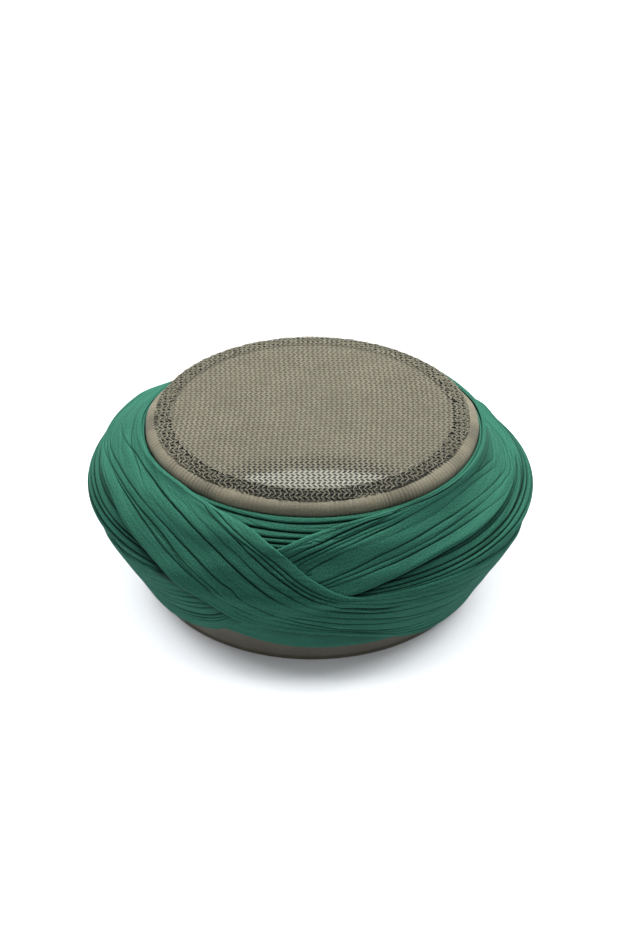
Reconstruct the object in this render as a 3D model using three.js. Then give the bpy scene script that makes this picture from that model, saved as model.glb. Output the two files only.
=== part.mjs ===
// A ready-wound turban: a hollow cloth cap with a net crown, a padded roll round it, and two
// pleated bands that cross over each other at the front and again at the back.
// Millimetres, +Z up, the front towards -Y. The origin is the centre of the mouth, on the surface
// that the cap's lower edge rests on.

import * as THREE from 'three';

// Driving sizes

const HEAD_RADIUS = 92.3; // inside of the mouth: a head 58 cm round
const CAP_WALL = 2.5; // cap cloth on its stiff backing
const CAP_HEIGHT = 91.8; // top of the cap's upright wall
const HEM_HEIGHT = 12.5; // the padded hem that turns out under the roll
const HEM_REACH = 100.6; // radius of the hem at its upper edge
const HEM_FOOT = 95; // radius of the flat lower edge

const RIM_CENTRE = { radius: 87.6, height: 97.4 }; // middle of the crown's padded rim
const RIM_HALF = { radius: 7.7, height: 6.5 }; // its half width and half height
const RIM_GATHERS = 40; // gathers of the rim's cloth in one turn
const GATHER_DEPTH = 0.45;
const RIM_SIDES = 8;

const PANEL = { radius: 81.4, underside: 100.4, thickness: 1.6, dome: 1.4 };
const NET = { thickness: 1.0, hem: 1.5, clearance: 0.5, edge: 90.0, hemInner: 81.5 };

const SEAT_GAP = 0.4; // between cloth pieces that rest on each other
const LAYER_GAP = 0.7; // under a band, clear of the facets below it
const CROSSING_GAP = 2.3; // where one band lies over the other, both of them slanted
const BAND_EDGE = 0.8; // thickness of a band's folded edges

const TURN_STEPS = 60; // sections in one turn of the roll and of the bands
const LATHE_STEPS = 48;
const DISC_STEPS = 48;

// Tables: one row for each section or fold

// Outline of the padded roll under the bands, from the mouth up to the crown's rim.
const ROLL_OUTLINE = [
  { radius: 94.6, height: 0.4 },
  { radius: 106.1, height: 21.6 },
  { radius: 118.2, height: 42.3 },
  { radius: 124.0, height: 52.9 },
  { radius: 128.8, height: 63.4 },
  { radius: 121.4, height: 72.8 },
  { radius: 111.2, height: 79.5 },
  { radius: 102.5, height: 88.0 },
  { radius: 98.3, height: 93.8 },
  { radius: 96.2, height: 98.6 },
];
const ROLL_START = 0.13; // shares of the outline where the roll's cloth begins and ends
const ROLL_END = 0.95;
const LEFT_SHOULDER = 4.6; // how much fuller its left shoulder is, and thinner its right one
const BACK_DROP = 5; // how much lower its upper side lies at the back

// How far the crossing bands press into the roll, front and back, at shares of its outline. Above the
// crossing it swells out instead.
const CROSSING_DIP = [
  { at: 0, depth: 0 },
  { at: 0.25, depth: 0.4 },
  { at: 0.45, depth: 2.6 },
  { at: 0.61, depth: 5.4 },
  { at: 0.72, depth: 2.0 },
  { at: 0.85, depth: -4.2 },
  { at: 0.93, depth: -2.8 },
  { at: 1, depth: 0 },
];

// Level folds of the roll's own cloth, as shares of its outline.
const ROLL_FOLDS = [
  { share: 0.52, depth: 1.2 },
  { share: 0.607, depth: 1.6 },
  { share: 0.655, depth: 1.6 },
  { share: 0.7, depth: 1.4 },
  { share: 0.84, depth: 1.2 },
  { share: 0.885, depth: 1.4 },
  { share: 0.918, depth: 1.6 },
];

// Course of the left band: degrees round from the front towards +X, its lower and upper edge as
// shares of the outline, and its thickness. It passes over the other band at 0 degrees and under it
// at 180, and spreads out thin where it runs low.
const BAND_COURSE = [
  { at: -90, low: 0.705, high: 0.985, thick: 2.3 },
  { at: -65, low: 0.715, high: 0.99, thick: 2.3 },
  { at: -50, low: 0.665, high: 0.99, thick: 2.3 },
  { at: -40, low: 0.61, high: 0.978, thick: 2.3 },
  { at: -30, low: 0.52, high: 0.962, thick: 2.3 },
  { at: -20, low: 0.4, high: 0.922, thick: 2.3 },
  { at: -10, low: 0.335, high: 0.83, thick: 2.3 },
  { at: 0, low: 0.31, high: 0.705, thick: 2.2 },
  { at: 10, low: 0.27, high: 0.615, thick: 2.1 },
  { at: 20, low: 0.22, high: 0.582, thick: 2.0 },
  { at: 40, low: 0.16, high: 0.565, thick: 2.0 },
  { at: 60, low: 0.14, high: 0.52, thick: 1.9 },
  { at: 90, low: 0.135, high: 0.45, thick: 1.8 },
  { at: 115, low: 0.14, high: 0.5, thick: 1.9 },
  { at: 130, low: 0.15, high: 0.545, thick: 2.0 },
  { at: 140, low: 0.19, high: 0.59, thick: 2.0 },
  { at: 150, low: 0.28, high: 0.66, thick: 2.0 },
  { at: 160, low: 0.39, high: 0.745, thick: 2.0 },
  { at: 170, low: 0.49, high: 0.83, thick: 2.0 },
  { at: 180, low: 0.57, high: 0.908, thick: 2.0 },
  { at: 190, low: 0.62, high: 0.954, thick: 2.2 },
  { at: 200, low: 0.67, high: 0.974, thick: 2.3 },
  { at: 220, low: 0.712, high: 0.978, thick: 2.3 },
  { at: 245, low: 0.715, high: 0.982, thick: 2.3 },
  { at: 270, low: 0.705, high: 0.985, thick: 2.3 },
];

// Creases between a band's pleats: shares of its width where it passes over and where it passes
// under, and depth as a share of its thickness.
const BAND_CREASES = [
  { over: 0.27, under: 0.155, depth: 0.65 },
  { over: 0.43, under: 0.25, depth: 0.65 },
  { over: 0.6, under: 0.37, depth: 0.7 },
  { over: 0.72, under: 0.61, depth: 0.6 },
  { over: 0.81, under: 0.75, depth: 0.6 },
  { over: 0.9, under: 0.87, depth: 0.6 },
];
const PLEAT_CREST = 0.78; // where a pleat stands highest, as a share of its own width

const BAND_LINING_STEPS = 9; // steps across the inner face of a band
const CROSSING_MARGIN = 0.03; // how far past the lower band's edge the upper one stays lifted
const CROSSING_FALL = 0.07; // and the share of the outline over which it comes down again

// Cloth

const GREEN_CLOTH = { color: 0x2f6f58, roughness: 0.85, metalness: 0 };
const KHAKI_CLOTH = { color: 0xa79f86, roughness: 0.8, metalness: 0 };
const NET_THREAD = { color: 0x8d8f80, roughness: 0.6, metalness: 0 };

// Curves

const rollCurve = new THREE.SplineCurve(
  ROLL_OUTLINE.map(({ radius, height }) => new THREE.Vector2(radius, height)),
);

// How much fuller the roll is than its outline: it sits high on the left shoulder and low at the
// back, and the crossing bands press it in at the front and the back.
function rollFullness(at, share) {
  const { degToRad, smoothstep } = THREE.MathUtils;
  const facing = Math.cos(degToRad(at));
  const shoulder = smoothstep(share, 0.5, 0.8) * (1 - smoothstep(share, 0.86, 1));
  const upperSide = smoothstep(share, 0.7, 0.84) * (1 - smoothstep(share, 0.9, 1));
  const drop = BACK_DROP * smoothstep(-facing, 0.05, 0.58) * upperSide;
  const dip = facing * facing * crossingDip(share);
  return -LEFT_SHOULDER * Math.sin(degToRad(at)) * shoulder - drop - dip;
}

// The point that lies a height above the roll, at an angle round it and a share of its outline.
function aboveRoll(at, share, height) {
  const tangent = rollCurve.getTangentAt(share);
  return rollCurve
    .getPointAt(share)
    .add(
      new THREE.Vector2(tangent.y, -tangent.x).multiplyScalar(height + rollFullness(at, share)),
    );
}

// A smooth curve through one column of a table whose rows are placed by their "at" column.
function columnCurve(rows, column) {
  const curve = new THREE.CubicInterpolant(
    rows.map((row) => row.at),
    rows.map((row) => row[column]),
    1,
  );
  return (at) => curve.evaluate(at)[0];
}

const crossingDip = columnCurve(CROSSING_DIP, 'depth');
const bandLow = columnCurve(BAND_COURSE, 'low');
const bandHigh = columnCurve(BAND_COURSE, 'high');
const bandThick = columnCurve(BAND_COURSE, 'thick');
const COURSE_START = BAND_COURSE[0].at;

// An angle moved by whole turns into the band's course.
function onCourse(at) {
  return COURSE_START + THREE.MathUtils.euclideanModulo(at - COURSE_START, 360);
}

// Geometry

// A closed ring whose section (radius, height) changes as it goes round. Sections run anticlockwise.
function ringGeometry(sectionAt, steps) {
  const positions = [];
  const indices = [];
  let corners = 0;
  for (let step = 0; step < steps; step++) {
    const at = (360 * step) / steps;
    const angle = THREE.MathUtils.degToRad(at);
    const section = sectionAt(at);
    corners = section.length;
    for (const { x: radius, y: height } of section) {
      positions.push(radius * Math.sin(angle), -radius * Math.cos(angle), height);
    }
  }
  for (let step = 0; step < steps; step++) {
    const next = (step + 1) % steps;
    for (let corner = 0; corner < corners; corner++) {
      const after = (corner + 1) % corners;
      const a = step * corners + corner;
      const b = next * corners + corner;
      const c = next * corners + after;
      const d = step * corners + after;
      indices.push(a, b, c, a, c, d);
    }
  }
  const geometry = new THREE.BufferGeometry();
  geometry.setAttribute('position', new THREE.Float32BufferAttribute(positions, 3));
  geometry.setIndex(indices);
  geometry.computeVertexNormals();
  return geometry;
}

// A turned solid about +Z from a closed outline of (radius, height), run anticlockwise.
function turnedGeometry(outline, steps) {
  const points = outline.map(([radius, height]) => new THREE.Vector2(radius, height));
  return new THREE.LatheGeometry(points, steps).rotateX(Math.PI / 2);
}

// Cap

function capWall() {
  const outside = HEAD_RADIUS + CAP_WALL;
  return turnedGeometry(
    [
      [HEAD_RADIUS, 0],
      [HEM_FOOT, 0],
      [(HEM_FOOT + HEM_REACH) / 2 + 0.3, HEM_HEIGHT / 2],
      [HEM_REACH, HEM_HEIGHT - 1],
      [HEM_REACH - 1, HEM_HEIGHT],
      [outside, HEM_HEIGHT],
      [outside, CAP_HEIGHT],
      [HEAD_RADIUS, CAP_HEIGHT],
      [HEAD_RADIUS, 0],
    ],
    LATHE_STEPS,
  );
}

// Padded rim of the crown, with its cloth gathered all the way round.
function crownRim() {
  const steps = RIM_GATHERS * 2;
  return ringGeometry((at) => {
    const gather = Math.round((at * steps) / 360) % 2 ? GATHER_DEPTH : 0;
    const section = [];
    for (let side = 0; side < RIM_SIDES; side++) {
      const angle = ((side + 0.5) * 2 * Math.PI) / RIM_SIDES;
      section.push(
        new THREE.Vector2(
          RIM_CENTRE.radius + (RIM_HALF.radius - gather) * Math.cos(angle),
          RIM_CENTRE.height + (RIM_HALF.height - gather) * Math.sin(angle),
        ),
      );
    }
    return section;
  }, steps);
}

// Cloth disc under the net, slightly domed.
function crownPanel() {
  const { radius, underside, thickness, dome } = PANEL;
  return turnedGeometry(
    [
      [0, underside + dome],
      [radius / 2, underside + 0.75 * dome],
      [radius - 0.8, underside],
      [radius, underside + 0.5 * thickness],
      [radius - 0.6, underside + thickness],
      [radius / 2, underside + thickness + 0.75 * dome],
      [0, underside + thickness + dome],
    ],
    DISC_STEPS,
  );
}

// Net stretched over the panel and the rim, with its edge turned under into a thicker hem.
function crownNet() {
  const overPanel = PANEL.underside + PANEL.thickness + NET.clearance;
  const overRim = RIM_CENTRE.height + RIM_HALF.height + NET.clearance;
  const flat = PANEL.radius / 2;
  const { dome } = PANEL;
  return turnedGeometry(
    [
      [0, overPanel + dome],
      [flat, overPanel + 0.75 * dome],
      [NET.hemInner - 3, overPanel + 0.3 * dome],
      [RIM_CENTRE.radius, overRim],
      [NET.edge, overRim - 0.35],
      [NET.edge + 0.3, overRim + NET.hem - 0.9],
      [RIM_CENTRE.radius, overRim + NET.hem],
      [NET.hemInner, overRim + NET.hem - 0.5],
      [NET.hemInner - 3, overPanel + 0.3 * dome + NET.thickness],
      [flat, overPanel + 0.75 * dome + NET.thickness],
      [0, overPanel + dome + NET.thickness],
    ],
    DISC_STEPS,
  );
}

// Roll

// Padded roll round the cap, with level folds in its cloth.
function rollSection(at) {
  const inside = HEAD_RADIUS + CAP_WALL + SEAT_GAP;
  const section = [];
  let start = ROLL_START;
  section.push(aboveRoll(at, start, 0));
  for (const { share, depth } of [...ROLL_FOLDS, { share: ROLL_END, depth: 0 }]) {
    section.push(aboveRoll(at, THREE.MathUtils.lerp(start, share, 0.5), 0));
    section.push(aboveRoll(at, share, -depth));
    start = share;
  }
  section.push(new THREE.Vector2(RIM_CENTRE.radius + RIM_HALF.radius + SEAT_GAP, RIM_CENTRE.height - 2));
  section.push(new THREE.Vector2(inside, CAP_HEIGHT - 2));
  section.push(new THREE.Vector2(inside, HEM_HEIGHT + LAYER_GAP));
  return section;
}

function paddedRoll() {
  return ringGeometry(rollSection, TURN_STEPS);
}

// Bands

// How far a band is lifted at a place along its course where it lies over the other band, whose own
// course is half a turn on.
function crossingLift(along, share) {
  if (Math.cos(THREE.MathUtils.degToRad(along)) < 0) return 0;
  const across = onCourse(along + 180);
  const outside = Math.max(bandLow(across) - share, share - bandHigh(across), 0);
  const fallen = (outside - CROSSING_MARGIN) / CROSSING_FALL;
  return (bandThick(across) + CROSSING_GAP) * (1 - THREE.MathUtils.smoothstep(fallen, 0, 1));
}

// Places across a band's outer face, as shares of its width with their height above its lining.
function pleatsAcross(along) {
  const turned = 0.5 - 0.5 * Math.cos(THREE.MathUtils.degToRad(along));
  const thick = bandThick(along);
  const places = [{ part: 0, rise: BAND_EDGE }];
  let start = 0;
  for (const { over, under, depth } of BAND_CREASES) {
    const part = THREE.MathUtils.lerp(over, under, turned);
    places.push({ part: THREE.MathUtils.lerp(start, part, PLEAT_CREST), rise: thick });
    places.push({ part, rise: thick * (1 - depth) });
    start = part;
  }
  places.push({ part: THREE.MathUtils.lerp(start, 1, PLEAT_CREST), rise: thick });
  places.push({ part: 1, rise: BAND_EDGE });
  return places;
}

// Section of a band at an angle round the turban. The course of the right band starts half a turn on.
function bandSection(at, courseStart) {
  const along = onCourse(at - courseStart);
  const low = bandLow(along);
  const high = bandHigh(along);
  const place = (part, rise) => {
    const share = THREE.MathUtils.lerp(low, high, part);
    return aboveRoll(at, share, LAYER_GAP + crossingLift(along, share) + rise);
  };
  const section = pleatsAcross(along).map(({ part, rise }) => place(part, rise));
  for (let step = BAND_LINING_STEPS; step >= 0; step--) {
    section.push(place(step / BAND_LINING_STEPS, 0));
  }
  return section;
}

function pleatedBand(courseStart) {
  return ringGeometry((at) => bandSection(at, courseStart), TURN_STEPS);
}

// Assembly

function piece(name, geometry, cloth) {
  const mesh = new THREE.Mesh(geometry, new THREE.MeshStandardMaterial(cloth));
  mesh.name = name;
  return mesh;
}

const crown = new THREE.Group();
crown.add(
  piece('crown_rim', crownRim(), KHAKI_CLOTH),
  piece('crown_panel', crownPanel(), KHAKI_CLOTH),
  piece('crown_net', crownNet(), NET_THREAD),
);

const turban = new THREE.Group();
turban.add(
  piece('cap_wall', capWall(), KHAKI_CLOTH),
  crown,
  piece('padded_roll', paddedRoll(), GREEN_CLOTH),
  piece('left_band', pleatedBand(0), GREEN_CLOTH),
  piece('right_band', pleatedBand(180), GREEN_CLOTH),
);

export default turban;
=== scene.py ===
"""A ready-wound turban: khaki cap with a knitted net crown, and pleated green cloth wound round it.

Metres, +Z up, the front towards -Y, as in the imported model. Sizes of the object are in millimetres
and are turned into metres where a mesh is made.
"""

import math

import bpy
import numpy as np
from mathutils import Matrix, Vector


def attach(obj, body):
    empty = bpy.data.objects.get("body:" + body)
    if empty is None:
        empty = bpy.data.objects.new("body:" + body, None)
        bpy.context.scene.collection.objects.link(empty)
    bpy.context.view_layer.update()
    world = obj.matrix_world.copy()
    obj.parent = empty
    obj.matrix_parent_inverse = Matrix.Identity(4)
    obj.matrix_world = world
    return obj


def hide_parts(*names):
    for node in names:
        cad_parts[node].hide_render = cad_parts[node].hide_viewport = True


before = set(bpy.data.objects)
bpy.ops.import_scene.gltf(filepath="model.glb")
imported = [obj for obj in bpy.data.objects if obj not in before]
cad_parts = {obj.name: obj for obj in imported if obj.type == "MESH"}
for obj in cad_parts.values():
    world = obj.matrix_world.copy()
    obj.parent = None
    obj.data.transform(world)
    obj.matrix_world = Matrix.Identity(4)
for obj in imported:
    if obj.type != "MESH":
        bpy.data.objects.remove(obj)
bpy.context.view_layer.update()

MM = 0.001

# Sizes of the cap and its crown

HEAD_RADIUS = 92.3
CAP_WALL = 2.5
CAP_HEIGHT = 89.0
HEM_FOOT = 95.0
RIM_CENTRE, RIM_HEIGHT = 87.6, 97.4  # radius and height of the middle of the rim's padding
RIM_HALF_WIDTH, RIM_HALF_HEIGHT = 7.7, 5.9
RIM_SAG = 4.0  # how much lower the rim and the top of the roll lie at the back
PANEL_RADIUS = 81.4

# Outline of the padded roll, from the mouth up to the crown's rim: radius, height
ROLL_OUTLINE = (
    (94.6, 0.4),
    (106.1, 21.6),
    (118.2, 42.3),
    (124.0, 52.9),
    (128.8, 63.4),
    (121.4, 72.8),
    (111.2, 79.5),
    (102.5, 88.0),
    (98.3, 93.8),
    (96.2, 98.6),
)
LEFT_SHOULDER = 4.6  # how much fuller the roll's left shoulder is, and thinner its right one
BACK_DROP = 5.0  # how much lower its upper side lies at the back
BACK_SLACK = 3.2  # how much thinner the roll is right at the back
# Shares of the outline over which these set in and end
SHOULDER_START, SHOULDER_END = (0.5, 0.8), (0.86, 1)
DROP_START, DROP_END = (0.7, 0.84), (0.9, 1)
SLACK_START = (0.55, 0.72)
SAG_START = (0.84, 1)
# Spans of the cosine from straight behind over which they set in
BEHIND, RIGHT_BEHIND = (0.05, 0.58), (0.5, 0.72)
# How far the crossing bands press into it, front and back: share of the outline, depth
CROSSING_DIP = (
    (0.00, 0.0),
    (0.25, 0.4),
    (0.45, 2.6),
    (0.61, 5.4),
    (0.72, 2.0),
    (0.85, -4.2),
    (0.93, -2.8),
    (1.00, 0.0),
)

# Course of the left band: degrees round from the front, lower and upper edge as shares of the roll's
# outline, thickness, and how far the lower edge stands off the roll
BAND_COURSE = (
    (-90, 0.728, 0.985, 2.5, 0.6),
    (-70, 0.723, 0.995, 2.5, 0.7),
    (-50, 0.664, 1.000, 2.5, 0.8),
    (-40, 0.617, 0.986, 2.5, 1.0),
    (-30, 0.540, 0.962, 2.5, 1.4),
    (-20, 0.410, 0.924, 2.4, 1.2),
    (-10, 0.335, 0.828, 2.3, 0.4),
    (0, 0.312, 0.705, 2.2, 0.2),
    (10, 0.270, 0.615, 2.1, 0.1),
    (20, 0.200, 0.580, 2.0, 0.0),
    (30, 0.120, 0.574, 2.0, 0.0),
    (42, 0.070, 0.563, 2.0, 0.0),
    (60, 0.060, 0.520, 1.9, 0.0),
    (90, 0.080, 0.450, 1.8, 0.0),
    (115, 0.090, 0.500, 1.9, 0.0),
    (130, 0.100, 0.545, 2.0, 0.0),
    (140, 0.130, 0.590, 2.0, 0.0),
    (150, 0.190, 0.660, 2.0, 0.0),
    (160, 0.330, 0.745, 2.0, 0.0),
    (170, 0.480, 0.825, 2.0, 0.0),
    (180, 0.570, 0.911, 2.0, 0.2),
    (190, 0.622, 0.956, 2.2, 0.5),
    (200, 0.670, 0.975, 2.4, 0.8),
    (220, 0.722, 0.980, 2.5, 0.8),
    (245, 0.728, 0.978, 2.5, 0.6),
    (270, 0.728, 0.985, 2.5, 0.6),
)

# Creases between a band's pleats, from the lowest. Each row: degrees along the course, share of the
# band's width, depth
CREASES = (
    (
        (-75, 0.255, 0.7), (-60, 0.258, 0.9), (-50, 0.233, 1.0), (-42, 0.205, 1.0), (-35, 0.197, 0.9),
        (-29, 0.220, 0.8), (-25, 0.256, 0.7), (-23, 0.240, 0.3), (-21, 0.160, 0.15), (-20, 0.128, 0.7),
        (-17, 0.118, 0.8), (-12, 0.100, 0.5), (-5, 0.085, 0.6), (45, 0.120, 0.9), (110, 0.190, 0.9),
        (145, 0.190, 1.1), (172, 0.200, 0.7), (184, 0.220, 0.6), (202, 0.206, 0.9), (214, 0.206, 0.9),
        (228, 0.224, 0.9), (235, 0.210, 0.6), (240, 0.179, 0.5), (245, 0.135, 0.4), (251, 0.070, 0.3),
        (262, 0.050, 0.3), (285, 0.255, 0.7),
    ),
    (
        (-75, 0.278, 0.8), (-66, 0.313, 0.9), (-58, 0.318, 1.0), (-50, 0.313, 1.0), (-42, 0.297, 1.0),
        (-37, 0.277, 0.9), (-32, 0.262, 0.8), (-28, 0.270, 0.8), (-24, 0.293, 0.8), (-21, 0.280, 0.4),
        (-18, 0.240, 0.2), (-14, 0.200, 0.2), (-8, 0.180, 0.6), (-2, 0.153, 0.9), (2, 0.135, 0.9),
        (10, 0.130, 1.0), (45, 0.220, 1.0), (110, 0.300, 0.9), (145, 0.250, 1.1), (172, 0.245, 0.7),
        (184, 0.260, 0.6), (190, 0.277, 0.7), (202, 0.277, 0.7), (214, 0.286, 0.7), (222, 0.320, 0.9),
        (230, 0.338, 0.7), (236, 0.330, 0.6), (242, 0.304, 0.5), (248, 0.259, 0.4), (255, 0.188, 0.4),
        (262, 0.130, 0.4), (285, 0.278, 0.8),
    ),
    (
        (-75, 0.415, 0.8), (-66, 0.440, 0.8), (-59, 0.458, 0.9), (-54, 0.453, 0.9), (-44, 0.416, 1.0),
        (-37, 0.389, 1.0), (-30, 0.387, 1.1), (-24, 0.400, 1.2), (-20, 0.415, 1.4), (-18, 0.380, 1.4),
        (-16, 0.345, 1.4), (-12, 0.312, 1.1), (-8, 0.275, 0.9), (-6, 0.250, 0.9), (-2, 0.218, 1.0),
        (4, 0.204, 1.2), (8, 0.185, 1.0), (14, 0.190, 1.0), (45, 0.300, 1.0), (110, 0.400, 0.9),
        (145, 0.320, 1.2), (172, 0.290, 0.8), (182, 0.313, 1.0), (193, 0.348, 1.0), (202, 0.392, 0.9),
        (210, 0.423, 1.0), (223, 0.468, 0.8), (230, 0.476, 0.7), (236, 0.460, 0.6), (241, 0.430, 0.6),
        (247, 0.384, 0.5), (254, 0.310, 0.5), (262, 0.220, 0.5), (285, 0.415, 0.8),
    ),
    (
        (-75, 0.620, 0.0), (-20, 0.500, 0.0), (-8, 0.360, 0.1), (-5, 0.313, 1.0), (0, 0.309, 1.2),
        (7, 0.321, 1.3), (12, 0.339, 1.3), (20, 0.370, 1.2), (31, 0.419, 1.2), (39, 0.446, 1.1),
        (50, 0.460, 0.4), (110, 0.470, 0.8), (145, 0.450, 1.2), (172, 0.420, 0.5), (180, 0.530, 0.9),
        (185, 0.570, 1.0), (189, 0.600, 0.4), (196, 0.610, 0.1), (210, 0.630, 0.2), (221, 0.660, 0.4),
        (229, 0.710, 0.4), (237, 0.720, 0.4), (245, 0.660, 0.4), (252, 0.555, 0.4), (258, 0.450, 0.4),
        (262, 0.420, 0.3), (285, 0.620, 0.0),
    ),
    (
        (-75, 0.800, 0.9), (-71, 0.818, 0.9), (-60, 0.806, 1.1), (-54, 0.775, 1.2), (-50, 0.742, 1.3),
        (-46, 0.717, 1.4), (-40, 0.692, 1.5), (-36, 0.664, 1.5), (-32, 0.637, 1.4), (-29, 0.612, 1.3),
        (-25, 0.595, 1.3), (-20, 0.588, 1.3), (-13, 0.577, 1.4), (-10, 0.565, 1.4), (-7, 0.534, 1.4),
        (-4, 0.495, 1.2), (-1, 0.451, 0.8), (1, 0.437, 0.5), (4, 0.446, 1.0), (8, 0.463, 1.1),
        (15, 0.480, 1.2), (45, 0.500, 1.0), (110, 0.520, 0.9), (145, 0.530, 1.2), (172, 0.500, 0.6),
        (180, 0.600, 0.3), (190, 0.660, 0.5), (196, 0.700, 0.9), (201, 0.735, 1.1), (206, 0.770, 1.0),
        (212, 0.820, 0.6), (220, 0.862, 0.6), (230, 0.875, 0.6), (236, 0.868, 0.5), (242, 0.833, 0.5),
        (248, 0.747, 0.6), (255, 0.641, 0.6), (262, 0.530, 0.5), (285, 0.800, 0.9),
    ),
    (
        (-75, 0.880, 0.0), (-45, 0.860, 0.0), (-30, 0.755, 0.4), (-24, 0.717, 0.6), (-21, 0.702, 0.7),
        (-17, 0.680, 0.8), (-12, 0.673, 0.9), (-7, 0.664, 0.9), (-4, 0.655, 0.9), (-1, 0.620, 0.9),
        (1, 0.576, 0.9), (3, 0.570, 1.1), (7, 0.594, 1.7), (10, 0.609, 1.9), (15, 0.623, 2.0),
        (20, 0.635, 1.8), (25, 0.646, 1.4), (33, 0.659, 1.3), (41, 0.659, 1.2), (49, 0.650, 0.9),
        (60, 0.620, 0.7), (110, 0.600, 0.8), (145, 0.620, 1.2), (172, 0.620, 0.6), (180, 0.667, 0.7),
        (185, 0.700, 0.8), (189, 0.725, 0.6), (193, 0.740, 0.3), (200, 0.770, 0.3), (207, 0.810, 0.2),
        (215, 0.880, 0.0), (285, 0.880, 0.0),
    ),
    (
        (-75, 0.920, 0.0), (-45, 0.930, 0.0), (-34, 0.900, 0.2), (-27, 0.856, 0.5), (-23, 0.831, 0.8),
        (-20, 0.810, 1.2), (-16, 0.771, 1.4), (-10, 0.767, 1.4), (-2, 0.759, 1.3), (1, 0.745, 1.1),
        (4, 0.733, 0.9), (6, 0.695, 1.2), (7, 0.687, 1.5), (10, 0.703, 1.9), (15, 0.715, 2.1),
        (20, 0.725, 1.9), (23, 0.740, 0.9), (26, 0.760, 0.4), (60, 0.720, 0.4), (110, 0.700, 0.6),
        (172, 0.695, 0.8), (175, 0.703, 1.0), (181, 0.724, 1.2), (187, 0.765, 1.2), (193, 0.797, 1.1),
        (198, 0.827, 1.0), (204, 0.857, 0.7), (212, 0.900, 0.0), (285, 0.920, 0.0),
    ),
    (
        (-75, 0.950, 0.0), (-45, 0.970, 0.0), (-36, 0.965, 0.4), (-32, 0.912, 0.8), (-29, 0.882, 0.9),
        (-26, 0.862, 0.9), (-22, 0.836, 1.0), (-18, 0.823, 1.1), (-13, 0.818, 1.1), (-5, 0.813, 1.0),
        (1, 0.818, 1.0), (6, 0.828, 0.8), (12, 0.820, 0.6), (28, 0.810, 0.8), (50, 0.810, 0.7),
        (110, 0.800, 0.6), (172, 0.800, 0.9), (181, 0.810, 1.2), (187, 0.848, 1.4), (192, 0.889, 1.4),
        (196, 0.916, 1.2), (202, 0.937, 0.9), (210, 0.955, 0.4), (216, 0.955, 0.1), (285, 0.950, 0.0),
    ),
    (
        (-75, 0.980, 0.0), (-45, 0.985, 0.0), (-33, 0.985, 0.3), (-29, 0.962, 0.8), (-26, 0.924, 0.8),
        (-22, 0.887, 0.9), (-18, 0.867, 0.9), (-13, 0.861, 0.9), (-5, 0.863, 0.9), (3, 0.871, 0.8),
        (7, 0.889, 0.6), (14, 0.910, 0.6), (27, 0.907, 0.7), (39, 0.916, 0.7), (60, 0.920, 0.5),
        (110, 0.900, 0.6), (172, 0.900, 0.3), (190, 0.950, 0.3), (205, 0.985, 0.8), (215, 0.980, 1.4),
        (222, 0.970, 1.5), (232, 0.972, 1.2), (240, 0.978, 0.5), (262, 0.980, 0.0), (285, 0.980, 0.0),
    ),
)

# Level folds of the roll's own cloth: share of the outline, depth
ROLL_FOLDS = (
    (0.260, 0.5),
    (0.340, 0.6),
    (0.420, 1.0),
    (0.500, 0.9),
    (0.560, 1.1),
    (0.612, 1.4),
    (0.642, 1.3),
    (0.668, 1.4),
    (0.705, 0.9),
    (0.760, 1.2),
    (0.800, 1.2),
    (0.832, 1.4),
    (0.857, 1.6),
    (0.883, 1.7),
    (0.917, 1.9),
    (0.962, 1.4),
)
# Lower edge of the roll's cloth over the khaki hem: degrees from the front or the back, share
ROLL_EDGE = (
    (-90, 0.18),
    (-40, 0.18),
    (-25, 0.185),
    (-17, 0.155),
    (-9, 0.13),
    (0, 0.118),
    (25, 0.112),
    (90, 0.18),
)
ROLL_TOP = 0.985
HEM_TOP = 0.26  # share of the outline that the khaki hem reaches under the green cloth

# Curves


def through(places, values):
    """A smooth curve through the values at the places, which doesn't pass above or below them."""
    places, values = np.asarray(places, float), np.asarray(values, float)
    step = np.diff(places)
    slope = np.diff(values) / step
    before, after = slope[:-1], slope[1:]
    turning = before * after <= 0
    inner = np.where(turning, 0, 2 * before * after / np.where(turning, 1, before + after))
    tangent = np.concatenate([slope[:1], inner, slope[-1:]])

    def curve(at):
        i = np.clip(np.searchsorted(places, at) - 1, 0, len(step) - 1)
        u = np.clip((at - places[i]) / step[i], 0, 1)
        bend = tangent[i] * (1 - u) - tangent[i + 1] * u
        lean = values[i] * (1 + 2 * u) * (1 - u) ** 2 + values[i + 1] * (3 - 2 * u) * u**2
        return lean + bend * step[i] * u * (1 - u)

    return curve


def smoothstep(x, low, high):
    u = np.clip((x - low) / (high - low), 0, 1)
    return u * u * (3 - 2 * u)


def ripple(at, seed, waves, size):
    """Gentle unevenness round the turban: a seeded sum of whole waves, about size high."""
    random = np.random.default_rng(seed)
    total = np.zeros_like(at, dtype=float)
    for wave in waves:
        total += random.uniform(0.5, 1) * np.sin(np.radians(at) * wave + random.uniform(0, 2 * np.pi))
    return size * total / math.sqrt(len(waves))


def catmull_rom(rows, steps):
    """Points along a smooth curve through the rows."""
    rows = np.asarray(rows, float)
    padded = np.vstack([rows[:1], rows, rows[-1:]])
    points = []
    for a, b, c, d in zip(padded, padded[1:], padded[2:], padded[3:]):
        u = np.linspace(0, 1, steps, endpoint=False)[:, None]
        bend = 2 * a - 5 * b + 4 * c - d + u * (3 * (b - c) + d - a)
        points.append(b + 0.5 * u * (c - a + u * bend))
    return np.vstack([*points, rows[-1:]])


def backness(at, span=BEHIND):
    """0 at the front and the sides, rising to 1 behind them."""
    return smoothstep(-np.cos(np.radians(at)), *span)


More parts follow.
